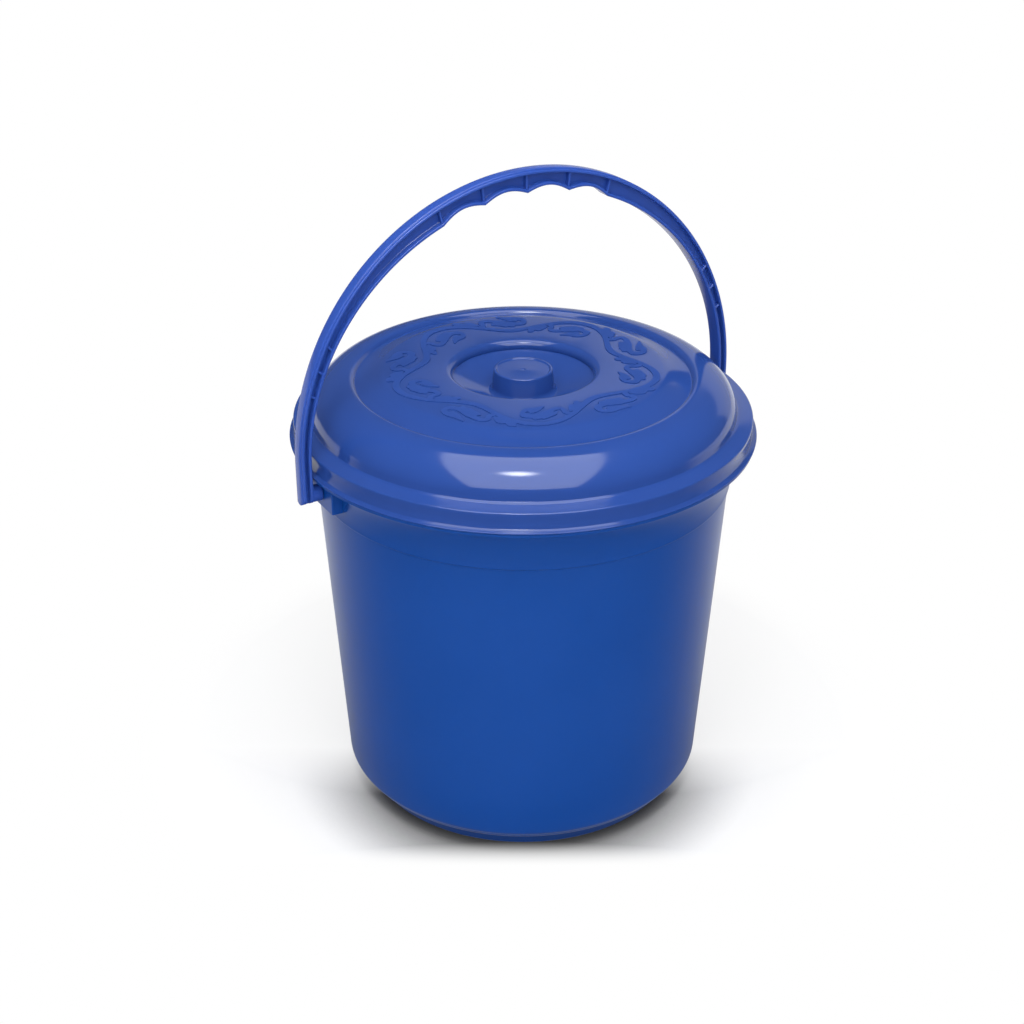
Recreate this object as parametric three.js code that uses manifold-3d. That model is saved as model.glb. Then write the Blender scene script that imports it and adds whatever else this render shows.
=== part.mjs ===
// A round plastic bucket with a lid and a swinging handle.
// Three mouldings: the pail, the lid that rests on its rim, and the handle that snaps into two ears.
// Millimetres, +Z up, origin at the centre of the foot, handle hinge along X.

import * as THREE from 'three';
import { mergeVertices } from 'three/addons/utils/BufferGeometryUtils.js';
import Module from 'manifold-3d';

// Facets in a full turn, a multiple of four so that the corners lie on the X and Y axes
const AROUND = 40;

// Running gap between pieces that meet
const CLEARANCE = 0.3;

// Pail
const WALL = 1.8;
const FOOT_RADIUS = 97.6;
const FOOT_WALL = 2.4;
const FOOT_HEIGHT = 11.8;
const FOOT_DRAFT = 1.2;
const FLOOR_LIFT = 7.0;
const FLOOR_THICKNESS = 2.2;
const BASE_RADIUS = 108.4;
const BASE_EDGE_RADIUS = 4.6;
const NECK_RADIUS = 121.0;
const NECK_HEIGHT = 199.4;
const NECK_STEP = 0.6;
const FLANGE_RADIUS = 134.2;
const FLANGE_HEIGHT = 227.1;
const FLANGE_THICKNESS = 1.5;
const RIM_INSET = 4.7;
const RIM_WALL = 2.2;
const RIM_ROUNDING = 0.8;

// Ears that carry the handle
const EAR_INSET = 4.6;
const EAR_HALF_WIDTH = 14.5;
const EAR_DROP = 17.1;
const EAR_WALL = 2.4;
const EAR_GUSSET_SPREAD = 6.5;
const EAR_GUSSET_RISE = 9.0;
const EAR_GUSSET_SETBACK = 6.1;
const PIVOT_DROP = 8.6;

// Lid
const LID_WALL = 1.6;
const LIP_OVERHANG = 0.8;
const LIP_THICKNESS = 0.8;
const SKIRT_INSET = 3.1;
const SKIRT_HEIGHT = 11.0;
const BRIM_BULGE = 0.5;
const BRIM_WIDTH = 9.5;
const BRIM_SLOPE = 1.7;
const SHOULDER_WIDTH = 23.6;
const CREST_RISE = 21.9;
const GROOVE_WIDTH = 2.9;
const GROOVE_DEPTH = 2.5;
const PLATE_RISE = 2.7;
const PLATE_SLOPE_WIDTH = 12.9;
const PLATE_BREAK_WIDTH = 4.0;
const PLATE_BREAK_FALL = 1.3;
const RECESS_RADIUS = 44.4;
const RECESS_DEPTH = 13.2;
const RECESS_EDGE_RADIUS = 4.0;
const KNOB_RADIUS = 17.0;
const KNOB_DRAFT = 0.7;
const KNOB_FLARE = 3.4;
const KNOB_ROUNDING = 0.9;
const DISH_RADIUS = 15.2;
const DISH_DEPTH = 0.8;

// Scroll border raised on the plate
const SCROLL_WAVES = 5;
const SCROLL_START = 30.7;
const SCROLL_RADIUS = 66.9;
const SCROLL_SWING = 9.8;
const SCROLL_STEM = 4.2;
const SCROLL_RAISE = 0.4;

// The scroll's leaf, drawn once: millimetres along the mean circle past a crest, and out from it.
// Rows of three also give the width of a stroke there.
const HOOK = [
  [18.4, 1.6, 3.6], [15.7, -1.8, 3.1], [16, -4.8, 3.1], [15, -7.2, 3.2], [12.4, -7.6, 3.4],
  [9.6, -6.6, 3.7], [5.5, -3.6, 4.6],
];
const LEAF = [
  [9.2, -3.9], [10.9, -1.6], [8.2, 0.7], [5.5, 2.2], [2.3, 3.9], [1.2, 3.2], [-2.5, 4.1], [-4, 1.8],
  [-7.2, 1.4], [-9.4, 0], [-10.3, -3.5], [-9.6, -7], [-7.7, -9.3], [-4.1, -10.9], [0.7, -11.2],
  [5.8, -12.9], [5, -10.6], [3.2, -8.9], [5.5, -7.2],
];
const SLIT = [
  [8, -10.8, 4.6], [4.4, -8.1, 2.9], [2, -6, 2], [-0.6, -4.4, 2], [-3, -3.3, 1.9], [-5.2, -3.7, 2.4],
  [-5.8, -4.9, 2.6], [-5.6, -6.2, 1],
];
const LEAFLET = [
  [18.6, -1.4], [19, -4.6], [20.9, -8.4], [23.3, -9.8], [25.3, -9.3], [26.6, -11.8], [28.8, -12.6],
  [30.6, -11.8], [30.3, -9.4], [31.6, -7.6], [25.5, -4],
];

// Handle
const ARCH_RISE = 18.4;
const LEG_CLEARANCE = 0.7;
const LEG_WIDTH = 6.7;
const GRIP_WIDTH = 12.6;
const ARCH_INNER_HEIGHT = 132.3;
const ARCH_FACETS = 40;
const HANDLE_DEPTH = 10.0;
const OUTER_FLANGE = 2.4;
const CROWN = 0.8;
const CROWN_DEPTH = 6.8;
const INNER_FLANGE = 1.8;
const WEB = 2.0;
const FINGER_ANGLE = 11.25;
const FINGERS = 4;
const FINGER_DEPTH = 3.2;
const FINGER_FACETS = 4;
const RIB = 1.3;
const RIB_DEPTH = 6.4;
const LEG_RIB_ANGLES = [61.2, 67.1, 73.0];
const STUD_RADIUS = 3.6;
const BOSS_RADIUS = 4.8;
const LEG_END_RADIUS = 5.0;
const STUD_REACH = 2.8;

// Pail sizes that follow from the ones above
const RIM_RADIUS = FLANGE_RADIUS - RIM_INSET;
const FLANGE_UNDERSIDE = FLANGE_HEIGHT - FLANGE_THICKNESS;
const FLOOR_TOP = FLOOR_LIFT + FLOOR_THICKNESS;
const EAR_REACH = FLANGE_RADIUS - EAR_INSET;
const EAR_GUSSET_REACH = EAR_REACH - EAR_GUSSET_SETBACK;
const EAR_BOTTOM = FLANGE_UNDERSIDE - EAR_DROP;
const PIVOT_HEIGHT = FLANGE_UNDERSIDE - PIVOT_DROP;

// Lid radii, worked inwards from the lip, and lid heights, worked up from the flange it rests on
const LIP_RADIUS = FLANGE_RADIUS + LIP_OVERHANG;
const SKIRT_WAIST = LIP_RADIUS - SKIRT_INSET;
const SKIRT_INSIDE = SKIRT_WAIST - LID_WALL;
const BRIM_RADIUS = SKIRT_WAIST + BRIM_BULGE;
const SHOULDER_RADIUS = BRIM_RADIUS - BRIM_WIDTH;
const CREST_RADIUS = SHOULDER_RADIUS - SHOULDER_WIDTH;
const GROOVE_RADIUS = CREST_RADIUS - GROOVE_WIDTH;
const PLATE_BREAK_RADIUS = GROOVE_RADIUS - PLATE_SLOPE_WIDTH;
const PLATE_FLAT_RADIUS = PLATE_BREAK_RADIUS - PLATE_BREAK_WIDTH;
const LID_SEAT = FLANGE_HEIGHT + CLEARANCE;
const BRIM_HEIGHT = LID_SEAT + SKIRT_HEIGHT;
const SHOULDER_HEIGHT = BRIM_HEIGHT + BRIM_SLOPE;
const CREST_HEIGHT = BRIM_HEIGHT + CREST_RISE;
const PLATE_HEIGHT = CREST_HEIGHT + PLATE_RISE;
const RECESS_FLOOR = PLATE_HEIGHT - RECESS_DEPTH;
const RIM_HEIGHT = BRIM_HEIGHT - LID_WALL - CLEARANCE;

// Handle sizes: its legs pass outside the lid's lip, and it is wider at the grip than at the legs
const ARCH_INNER_HALF_SPAN = LIP_RADIUS + LEG_CLEARANCE;
const ARCH_OUTER_HALF_SPAN = ARCH_INNER_HALF_SPAN + LEG_WIDTH;
const ARCH_OUTER_HEIGHT = ARCH_INNER_HEIGHT + GRIP_WIDTH;

const wasm = await Module();
wasm.setup();

// A closed solid from any closed geometry, whichever way its faces were wound
function solidOf(geometry) {
  const bare = geometry.clone();
  bare.deleteAttribute('normal');
  bare.deleteAttribute('uv');
  const merged = mergeVertices(bare, 1e-4);
  const corners = merged.attributes.position.array;
  const faces = [];
  let volume = 0;
  for (let i = 0; i < merged.index.count; i += 3) {
    const [a, b, c] = [0, 1, 2].map((k) => merged.index.getX(i + k));
    if (a === b || b === c || c === a) continue;
    faces.push(a, b, c);
    const [p, q, r] = [a, b, c].map((k) => new THREE.Vector3().fromArray(corners, 3 * k));
    volume += p.dot(q.cross(r));
  }
  if (volume < 0) faces.reverse();
  return new wasm.Manifold(new wasm.Mesh({
    numProp: 3,
    vertProperties: Float32Array.from(corners),
    triVerts: Uint32Array.from(faces),
  }));
}

// A named mesh from a finished solid
function meshOf(solid, name, material) {
  const { vertProperties, triVerts, numProp } = solid.getMesh();
  const geometry = new THREE.BufferGeometry();
  const corners = new Float32Array((vertProperties.length / numProp) * 3);
  for (let i = 0; i < corners.length / 3; i++) {
    corners.set(vertProperties.subarray(i * numProp, i * numProp + 3), i * 3);
  }
  geometry.setAttribute('position', new THREE.BufferAttribute(corners, 3));
  geometry.setIndex(new THREE.BufferAttribute(Uint32Array.from(triVerts), 1));
  geometry.computeVertexNormals();
  const mesh = new THREE.Mesh(geometry, material);
  mesh.name = name;
  return mesh;
}

// Turn a profile of [radius, height] pairs about Z
function turned(profile) {
  const points = profile.map(([r, z]) => new THREE.Vector2(r, z));
  return solidOf(new THREE.LatheGeometry(points, AROUND).rotateX(Math.PI / 2));
}

// Extrude an outline of [x, y] pairs along Z between two heights
function slab(outline, low, high) {
  const shape = new THREE.Shape(outline.map(([x, y]) => new THREE.Vector2(x, y)));
  const geometry = new THREE.ExtrudeGeometry(shape, { depth: high - low, bevelEnabled: false });
  return solidOf(geometry.translate(0, 0, low));
}

// The same for an outline of [x, z] pairs, extruded along Y
function uprightSlab(outline, halfDepth) {
  const shape = new THREE.Shape(outline.map(([x, z]) => new THREE.Vector2(x, z)));
  const geometry = new THREE.ExtrudeGeometry(shape, { depth: 2 * halfDepth, bevelEnabled: false });
  return solidOf(geometry.translate(0, 0, -halfDepth).rotateX(Math.PI / 2));
}

// A block between two corners
function block(low, high) {
  const size = high.map((value, axis) => value - low[axis]);
  const middle = high.map((value, axis) => (value + low[axis]) / 2);
  return solidOf(new THREE.BoxGeometry(...size).translate(...middle));
}

// A round bar along X
function barAlongX(radius, from, to, facets) {
  const bar = new THREE.CylinderGeometry(radius, radius, Math.abs(to - from), facets);
  return solidOf(bar.rotateZ(Math.PI / 2).translate((from + to) / 2, 0, 0));
}

// Points on a quarter or part of an ellipse, angles in degrees
function arc(cx, cy, rx, ry, from, to, steps) {
  return Array.from({ length: steps + 1 }, (_, i) => {
    const angle = THREE.MathUtils.degToRad(from + ((to - from) * i) / steps);
    return [cx + rx * Math.cos(angle), cy + ry * Math.sin(angle)];
  });
}

// Outer radius of the pail's tapered wall at a height
function wallRadius(z) {
  const share = (z - FOOT_HEIGHT) / (NECK_HEIGHT - FOOT_HEIGHT);
  return BASE_RADIUS + (NECK_RADIUS - NECK_STEP - BASE_RADIUS) * share;
}

// The cove that flares from the neck line out to the flange, moved inwards by an inset
function cove(inset, steps) {
  const flare = FLANGE_RADIUS - NECK_RADIUS;
  const rise = FLANGE_UNDERSIDE - NECK_HEIGHT;
  return arc(FLANGE_RADIUS, NECK_HEIGHT, -flare, rise, 0, 90, steps)
    .map(([r, z]) => [r - inset, z]);
}

function pailShell() {
  const footInside = FOOT_RADIUS - FOOT_WALL;
  const rimInside = RIM_RADIUS - RIM_WALL;
  const edgeTop = FOOT_HEIGHT + BASE_EDGE_RADIUS;
  const edge = arc(wallRadius(edgeTop) - BASE_EDGE_RADIUS, edgeTop,
    BASE_EDGE_RADIUS, BASE_EDGE_RADIUS, -90, 0, 3);
  const innerEdgeTop = FLOOR_TOP + BASE_EDGE_RADIUS;
  const innerEdge = arc(wallRadius(innerEdgeTop) - WALL - BASE_EDGE_RADIUS, innerEdgeTop,
    BASE_EDGE_RADIUS, BASE_EDGE_RADIUS, 0, -90, 2);
  const innerCove = cove(WALL, 5).filter(([r]) => r < rimInside).reverse();
  return turned([
    [0, FLOOR_LIFT],
    [footInside, FLOOR_LIFT],
    [footInside, 0],
    [FOOT_RADIUS, 0],
    [FOOT_RADIUS + FOOT_DRAFT, FOOT_HEIGHT],
    ...edge,
    [wallRadius(NECK_HEIGHT), NECK_HEIGHT - NECK_STEP],
    ...cove(0, 5),
    [FLANGE_RADIUS, FLANGE_HEIGHT],
    [RIM_RADIUS, FLANGE_HEIGHT],
    [RIM_RADIUS, RIM_HEIGHT - RIM_ROUNDING],
    [RIM_RADIUS - RIM_ROUNDING, RIM_HEIGHT],
    [rimInside + RIM_ROUNDING, RIM_HEIGHT],
    [rimInside, RIM_HEIGHT - RIM_ROUNDING],
    [rimInside, FLANGE_UNDERSIDE - FLANGE_THICKNESS],
    ...innerCove,
    ...innerEdge,
    [0, FLOOR_TOP],
  ]);
}

// Everything inside the middle of the pail's wall, to trim what is joined on from outside
function pailCore() {
  return turned([
    [0, FOOT_HEIGHT],
    [wallRadius(FOOT_HEIGHT) - WALL / 2, FOOT_HEIGHT],
    ...cove(WALL / 2, 6).filter(([r]) => r < RIM_RADIUS - RIM_WALL / 2),
    [RIM_RADIUS - RIM_WALL / 2, RIM_HEIGHT],
    [0, RIM_HEIGHT],
  ]);
}

// A hollow ear under the flange on the +X side, open below, with the hole for the handle's stud
function ear() {
  const inside = NECK_RADIUS - EAR_HALF_WIDTH / 2;
  const top = FLANGE_HEIGHT - FLANGE_THICKNESS / 2;
  const box = block([inside, -EAR_HALF_WIDTH, EAR_BOTTOM], [EAR_REACH, EAR_HALF_WIDTH, top]);
  const spread = EAR_HALF_WIDTH + EAR_GUSSET_SPREAD;
  const gussetOutline = [
    [-EAR_HALF_WIDTH, EAR_BOTTOM],
    [EAR_HALF_WIDTH, EAR_BOTTOM],
    [spread, EAR_BOTTOM + EAR_GUSSET_RISE],
    [spread, top],
    [-spread, top],
    [-spread, EAR_BOTTOM + EAR_GUSSET_RISE],
  ];
  const gusset = slab(gussetOutline, inside, EAR_GUSSET_REACH).rotate([90, 0, 90]);
  const pocket = block(
    [0, EAR_WALL - EAR_HALF_WIDTH, 0],
    [EAR_REACH - EAR_WALL, EAR_HALF_WIDTH - EAR_WALL, top],
  );
  const hole = barAlongX(STUD_RADIUS + CLEARANCE, EAR_REACH - 2 * EAR_WALL, EAR_REACH + EAR_WALL, 20)
    .translate([0, 0, PIVOT_HEIGHT]);
  return box.add(gusset).subtract(pocket).subtract(hole).subtract(pailCore());
}

function pail() {
  const rightEar = ear();
  return pailShell().add(rightEar).add(rightEar.rotate([0, 0, 180]));
}

function lidShell() {
  const shoulderRun = SHOULDER_RADIUS - CREST_RADIUS;
  const shoulderRise = CREST_HEIGHT - SHOULDER_HEIGHT;
  const shoulder = arc(CREST_RADIUS, SHOULDER_HEIGHT, shoulderRun, shoulderRise, 90, 0, 6);
  const shoulderInside = arc(CREST_RADIUS, SHOULDER_HEIGHT - LID_WALL / 2,
    shoulderRun - LID_WALL, shoulderRise - LID_WALL, 0, 90, 4);
  const knobFoot = KNOB_RADIUS + KNOB_FLARE;
  const knobWaist = KNOB_RADIUS + KNOB_DRAFT;
  const bowlTop = PLATE_HEIGHT - RECESS_EDGE_RADIUS;
  const bowlEdge = arc(RECESS_RADIUS, bowlTop, -RECESS_EDGE_RADIUS, RECESS_EDGE_RADIUS, 0, 90, 3);
  const bowlEdgeInside = arc(RECESS_RADIUS, bowlTop - LID_WALL / 2,
    LID_WALL - RECESS_EDGE_RADIUS, RECESS_EDGE_RADIUS - LID_WALL, 90, 0, 2);
  const grooveHeight = CREST_HEIGHT - GROOVE_DEPTH;
  const breakHeight = PLATE_HEIGHT - PLATE_BREAK_FALL;
  return turned([
    [0, PLATE_HEIGHT - DISH_DEPTH],
    [DISH_RADIUS, PLATE_HEIGHT - DISH_DEPTH],
    [DISH_RADIUS + DISH_DEPTH / 2, PLATE_HEIGHT],
    [KNOB_RADIUS - KNOB_ROUNDING, PLATE_HEIGHT],
    [KNOB_RADIUS, PLATE_HEIGHT - KNOB_ROUNDING],
    [knobWaist, RECESS_FLOOR + 2 * KNOB_FLARE],
    [knobWaist + KNOB_FLARE / 4, RECESS_FLOOR + KNOB_FLARE / 2],
    [knobFoot, RECESS_FLOOR],
    ...bowlEdge,
    [PLATE_FLAT_RADIUS, PLATE_HEIGHT],
    [PLATE_BREAK_RADIUS, breakHeight],
    [GROOVE_RADIUS, grooveHeight],
    [GROOVE_RADIUS + 1, grooveHeight + GROOVE_DEPTH / 2],
    ...shoulder,
    [BRIM_RADIUS - LIP_THICKNESS, BRIM_HEIGHT],
    [BRIM_RADIUS, BRIM_HEIGHT - LIP_THICKNESS],
    [SKIRT_WAIST, (BRIM_HEIGHT + LID_SEAT) / 2],
    [SKIRT_WAIST + LID_WALL / 2, LID_SEAT + 2 * LIP_THICKNESS],
    [LIP_RADIUS, LID_SEAT + LIP_THICKNESS],
    [LIP_RADIUS, LID_SEAT],
    [SKIRT_WAIST + LID_WALL / 2, LID_SEAT],
    [SKIRT_INSIDE, LID_SEAT + 2 * LID_WALL],
    [SKIRT_INSIDE, BRIM_HEIGHT - LID_WALL],
    [SHOULDER_RADIUS - LID_WALL, SHOULDER_HEIGHT - LID_WALL],
    ...shoulderInside,
    [GROOVE_RADIUS, grooveHeight - LID_WALL],
    [PLATE_BREAK_RADIUS, breakHeight - LID_WALL],
    [PLATE_FLAT_RADIUS, PLATE_HEIGHT - LID_WALL],
    ...bowlEdgeInside,
    [knobFoot, RECESS_FLOOR - LID_WALL],
    [knobFoot - LID_WALL, RECESS_FLOOR - LID_WALL],
    [knobWaist - LID_WALL, RECESS_FLOOR + KNOB_FLARE],
    [KNOB_RADIUS - LID_WALL, PLATE_HEIGHT - DISH_DEPTH - LID_WALL],
    [0, PLATE_HEIGHT - DISH_DEPTH - LID_WALL],
  ]);
}

// Point on the plate from millimetres along the scroll's mean circle past an angle, and out from it
function onPlate(degrees, along, out) {
  const angle = THREE.MathUtils.degToRad(degrees) + along / SCROLL_RADIUS;
  const radius = SCROLL_RADIUS + out;
  return [radius * Math.cos(angle), radius * Math.sin(angle)];
}

// Outline of a smooth stroke through [x, y, width] points
function stroke(points, steps) {
  const curve = new THREE.CatmullRomCurve3(points.map((point) => new THREE.Vector3(...point)));
  const left = [];
  const right = [];
  for (let i = 0; i <= steps; i++) {
    const { x, y, z: width } = curve.getPoint(i / steps);
    const ahead = curve.getTangent(i / steps).setZ(0).normalize();
    left.push([x - (ahead.y * width) / 2, y + (ahead.x * width) / 2]);
    right.unshift([x + (ahead.y * width) / 2, y - (ahead.x * width) / 2]);
  }
  return [...left, ...right];
}

// The wavy stem as a closed ring
function stem(low, high) {
  const steps = SCROLL_WAVES * 10;
  const edge = (side) => Array.from({ length: steps }, (_, i) => {
    const turn = (360 * i) / steps;
    const swing = SCROLL_SWING * Math.cos(THREE.MathUtils.degToRad(SCROLL_WAVES * turn));
    return onPlate(SCROLL_START + turn, 0, swing + (side * SCROLL_STEM) / 2);
  });
  return slab(edge(1), low, high).subtract(slab(edge(-1), low - 1, high + 1));
}

// Leaves inside each crest of the wave, and the same leaves mirrored outside each trough
function scroll() {
  const low = PLATE_HEIGHT - LID_WALL / 2;
  const high = PLATE_HEIGHT + SCROLL_RAISE;
  let border = stem(low, high);
  for (let half = 0; half < 2 * SCROLL_WAVES; half++) {
    const start = SCROLL_START + (180 / SCROLL_WAVES) * half;
    const side = half % 2 ? -1 : 1;
    const raised = (outline, from, to) =>
      slab(outline.map(([along, out]) => onPlate(start, along, side * out)), from, to);
    const leaf = raised(LEAF, low, high).subtract(raised(stroke(SLIT, 7), low - 1, high + 1));
    border = border
      .add(leaf)
      .add(raised(stroke(HOOK, 6), low, high))
      .add(raised(LEAFLET, low, high));
  }
  return border;
}

function lid() {
  return lidShell().add(scroll());
}

// Half-ellipse arch with straight legs, as [x, height above the pivot], from left foot to right foot
function archLine(halfSpan, height) {
  return [
    [-halfSpan, -LEG_END_RADIUS],
    ...arc(0, ARCH_RISE, halfSpan, height, 180, 0, ARCH_FACETS),
    [halfSpan, -LEG_END_RADIUS],
  ];
}

// Inner edge of the handle, moved outwards by an inset, with the finger scallops under the crown
function gripLine(inset) {
  const halfSpan = ARCH_INNER_HALF_SPAN + inset;
  const height = ARCH_INNER_HEIGHT + inset;
  const on = (degrees, out) => {
    const angle = THREE.MathUtils.degToRad(90 - degrees);
    return [(halfSpan + out) * Math.cos(angle), ARCH_RISE + (height + out) * Math.sin(angle)];
  };
  const gripHalf = (FINGERS / 2) * FINGER_ANGLE;
  const legSteps = Math.round((ARCH_FACETS / 2) * (1 - gripHalf / 90));
  const leg = (side) => Array.from({ length: legSteps }, (_, i) =>
    on(side * (90 - ((90 - gripHalf) * i) / legSteps), 0));
  const scallops = Array.from({ length: FINGERS * FINGER_FACETS + 1 }, (_, i) => {
    const share = (i % FINGER_FACETS) / FINGER_FACETS;
    return on(-gripHalf + (i * FINGER_ANGLE) / FINGER_FACETS, FINGER_DEPTH * Math.sin(Math.PI * share));
  });
  return [
    [-halfSpan, -LEG_END_RADIUS],
    ...leg(-1),
    ...scallops,
    ...leg(1).reverse(),
    [halfSpan, -LEG_END_RADIUS],
  ];
}

// A band between two lines that both run from left foot to right foot
function band(outer, inner, depth) {
  return uprightSlab([...outer, ...inner.slice().reverse()], depth / 2);
}

// Cross rib at an angle from the crown, from the inner flange to the outer one
function rib(degrees) {
  const angle = THREE.MathUtils.degToRad(90 - degrees);
  const ends = [
    [ARCH_INNER_HALF_SPAN + INNER_FLANGE / 2, ARCH_INNER_HEIGHT + INNER_FLANGE / 2],
    [ARCH_OUTER_HALF_SPAN - OUTER_FLANGE / 2, ARCH_OUTER_HEIGHT - OUTER_FLANGE / 2],
  ].map(([halfSpan, height]) => [halfSpan * Math.cos(angle), ARCH_RISE + height * Math.sin(angle)]);
  const across = [(-Math.sin(angle) * RIB) / 2, (Math.cos(angle) * RIB) / 2];
  const outline = [
    [ends[0][0] - across[0], ends[0][1] - across[1]],
    [ends[1][0] - across[0], ends[1][1] - across[1]],
    [ends[1][0] + across[0], ends[1][1] + across[1]],
    [ends[0][0] + across[0], ends[0][1] + across[1]],
  ];
  return uprightSlab(outline, RIB_DEPTH / 2);
}

// Stud with its wider boss, on the inside of the +X leg, reaching through the ear's wall
function stud() {
  const legInside = ARCH_INNER_HALF_SPAN + INNER_FLANGE / 2;
  const bossEnd = EAR_REACH + CLEARANCE;
  const boss = barAlongX(BOSS_RADIUS, bossEnd, legInside, 20);
  return boss.add(barAlongX(STUD_RADIUS, EAR_REACH - STUD_REACH, legInside, 20));
}

// What is cut away below the pivot so that each leg ends in a half round
function legEndCutter() {
  const wide = ARCH_OUTER_HALF_SPAN + 2 * CROWN;
  const reach = 2 * HANDLE_DEPTH;
  return block([-wide, -reach, -reach], [wide, reach, 0])
    .subtract(barAlongX(LEG_END_RADIUS, -wide - 1, wide + 1, 24));
}

function handle() {
  const outerLine = archLine(ARCH_OUTER_HALF_SPAN - CROWN, ARCH_OUTER_HEIGHT - CROWN);
  const crownLine = archLine(ARCH_OUTER_HALF_SPAN, ARCH_OUTER_HEIGHT);
  const flangeLine = archLine(ARCH_OUTER_HALF_SPAN - OUTER_FLANGE, ARCH_OUTER_HEIGHT - OUTER_FLANGE);
  let solid = band(outerLine, flangeLine, HANDLE_DEPTH)
    .add(band(crownLine, flangeLine, CROWN_DEPTH))
    .add(band(outerLine, gripLine(0), WEB))
    .add(band(gripLine(INNER_FLANGE), gripLine(0), HANDLE_DEPTH));
  const gripRibs = Array.from({ length: FINGERS + 1 }, (_, i) => (i - FINGERS / 2) * FINGER_ANGLE);
  for (const degrees of [...gripRibs, ...LEG_RIB_ANGLES, ...LEG_RIB_ANGLES.map((value) => -value)]) {
    solid = solid.add(rib(degrees));
  }
  solid = solid.subtract(legEndCutter());
  return solid.add(stud()).add(stud().rotate([0, 0, 180]));
}

// Polypropylene in two close blues: the pail a little greener than the lid and handle
const pailBlue = new THREE.MeshStandardMaterial({ color: '#1a4ea6', roughness: 0.28, metalness: 0 });
const lidBlue = new THREE.MeshStandardMaterial({ color: '#2a4ca6', roughness: 0.18, metalness: 0 });
const handleBlue = new THREE.MeshStandardMaterial({ color: '#2a4ca6', roughness: 0.3, metalness: 0 });

const bucket = new THREE.Group();
bucket.add(meshOf(pail(), 'pail', pailBlue));
bucket.add(meshOf(lid(), 'lid', lidBlue));
const swing = new THREE.Group();
swing.position.set(0, 0, PIVOT_HEIGHT);
swing.add(meshOf(handle(), 'handle', handleBlue));
bucket.add(swing);

export default bucket;
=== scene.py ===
"""The bucket with lid: fine meshes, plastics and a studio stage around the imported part."""

import math

import bmesh
import bpy
from mathutils import Matrix, Vector


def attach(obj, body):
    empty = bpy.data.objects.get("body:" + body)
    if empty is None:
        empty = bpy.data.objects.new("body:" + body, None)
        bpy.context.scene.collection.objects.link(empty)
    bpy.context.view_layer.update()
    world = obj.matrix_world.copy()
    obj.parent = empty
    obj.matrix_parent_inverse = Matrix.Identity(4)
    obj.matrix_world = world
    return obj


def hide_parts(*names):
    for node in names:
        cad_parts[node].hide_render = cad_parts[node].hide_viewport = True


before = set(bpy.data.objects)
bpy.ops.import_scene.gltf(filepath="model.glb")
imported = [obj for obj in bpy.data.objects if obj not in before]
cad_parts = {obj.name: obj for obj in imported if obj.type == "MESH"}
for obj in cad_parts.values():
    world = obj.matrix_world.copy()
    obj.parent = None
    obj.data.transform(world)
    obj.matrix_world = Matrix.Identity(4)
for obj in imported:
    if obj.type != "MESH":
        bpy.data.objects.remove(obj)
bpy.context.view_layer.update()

bl_info = {
    "name": "Bucket with lid",
    "version": (1, 0, 0),
    "blender": (4, 5, 0),
    "location": "View3D > Sidebar > Bucket",
    "description": "Builds a round plastic bucket, its domed lid and its handle, in a white studio",
    "category": "Add Mesh",
}

MM = 0.001

# Facets in a full turn of the fine meshes
AROUND = 240
# Running gap between pieces that meet
CLEARANCE = 0.3

# Pail, in millimetres
WALL = 1.8
FOOT_RADIUS = 97.6
FOOT_WALL = 2.4
FOOT_HEIGHT = 11.8
FOOT_DRAFT = 1.2
FLOOR_LIFT = 7.0
FLOOR_THICKNESS = 2.2
BASE_RADIUS = 108.4
BASE_EDGE_RADIUS = 4.6
NECK_RADIUS = 121.0
NECK_HEIGHT = 199.4
NECK_STEP = 0.6
FLANGE_RADIUS = 134.2
FLANGE_HEIGHT = 227.1
FLANGE_THICKNESS = 1.5
RIM_RADIUS = 129.5
RIM_WALL = 2.2
RIM_ROUNDING = 0.8

# Ears
EAR_REACH = 129.6
EAR_HALF_WIDTH = 14.5
EAR_DROP = 17.1
EAR_WALL = 2.4
EAR_GUSSET_SPREAD = 6.5
EAR_GUSSET_RISE = 9.0
EAR_GUSSET_REACH = 123.5
EAR_HOLE_RADIUS = 3.9
PIVOT_HEIGHT = 217.0

# Lid
LID_WALL = 1.6
LID_SEAT = 227.4
LIP_RADIUS = 135.0
LIP_THICKNESS = 0.8
SKIRT_WAIST = 131.9
BRIM_RADIUS = 132.4
BRIM_HEIGHT = 238.4
BRIM_SLOPE = 1.7
SHOULDER_RADIUS = 122.9
CREST_RADIUS = 99.3
CREST_HEIGHT = 260.3
GROOVE_RADIUS = 96.4
GROOVE_DEPTH = 2.5
PLATE_HEIGHT = 263.0
PLATE_FLAT_RADIUS = 79.5
PLATE_BREAK_RADIUS = 83.5
PLATE_BREAK_FALL = 1.3
RECESS_RADIUS = 44.4
RECESS_FLOOR = 249.8
RECESS_EDGE_RADIUS = 4.0
KNOB_RADIUS = 17.0
KNOB_DRAFT = 0.7
KNOB_FLARE = 3.4
KNOB_ROUNDING = 0.9
DISH_RADIUS = 15.2
DISH_DEPTH = 0.8

# Scroll border
SCROLL_WAVES = 5
SCROLL_START = 30.7
SCROLL_RADIUS = 66.9
SCROLL_SWING = 9.8
SCROLL_STEM = 4.2

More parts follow.
